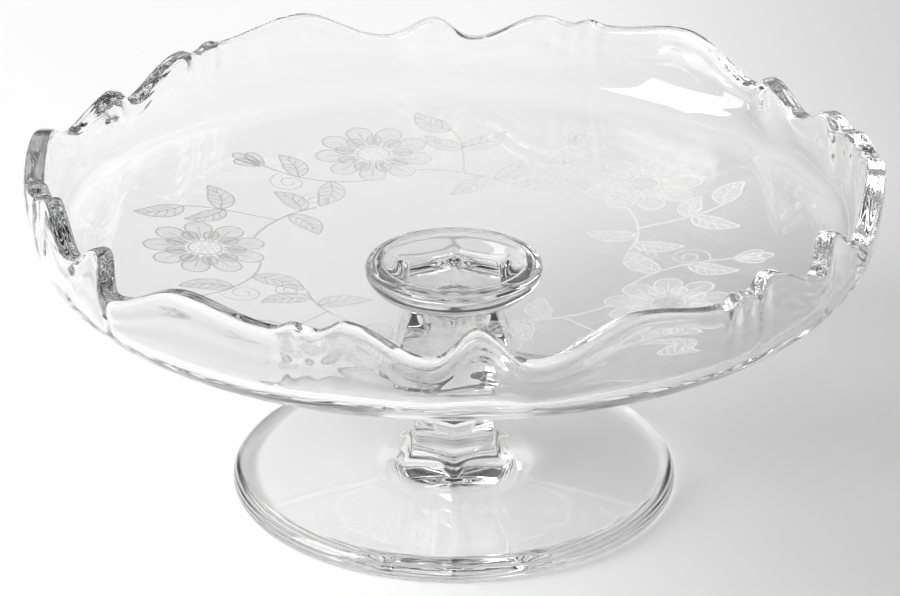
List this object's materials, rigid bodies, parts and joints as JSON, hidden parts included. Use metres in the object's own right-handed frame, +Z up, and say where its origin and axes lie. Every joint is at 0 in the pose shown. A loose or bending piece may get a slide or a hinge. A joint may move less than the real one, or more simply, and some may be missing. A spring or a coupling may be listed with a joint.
{
  "type": "footed honey dish",
  "caption": "Shallow round dish of clear pressed glass with a scalloped rim, on a short six-sided stem and a round flat foot, for serving honey or preserves.",
  "frame": {"origin": "on the table, under the middle of the foot", "axes": "+Z up along the stem, -Y towards the front as pictured"},
  "size_m": [0.1678, 0.1648, 0.0717],
  "materials": {
    "clear_glass": "clear colourless glass, fire polished, with frosted etched line work on the floor of the bowl"
  },
  "bodies": {
    "root": {"bowl": "clear_glass", "collar": "clear_glass", "stem": "clear_glass", "foot": "clear_glass"}
  },
  "joints": []
}
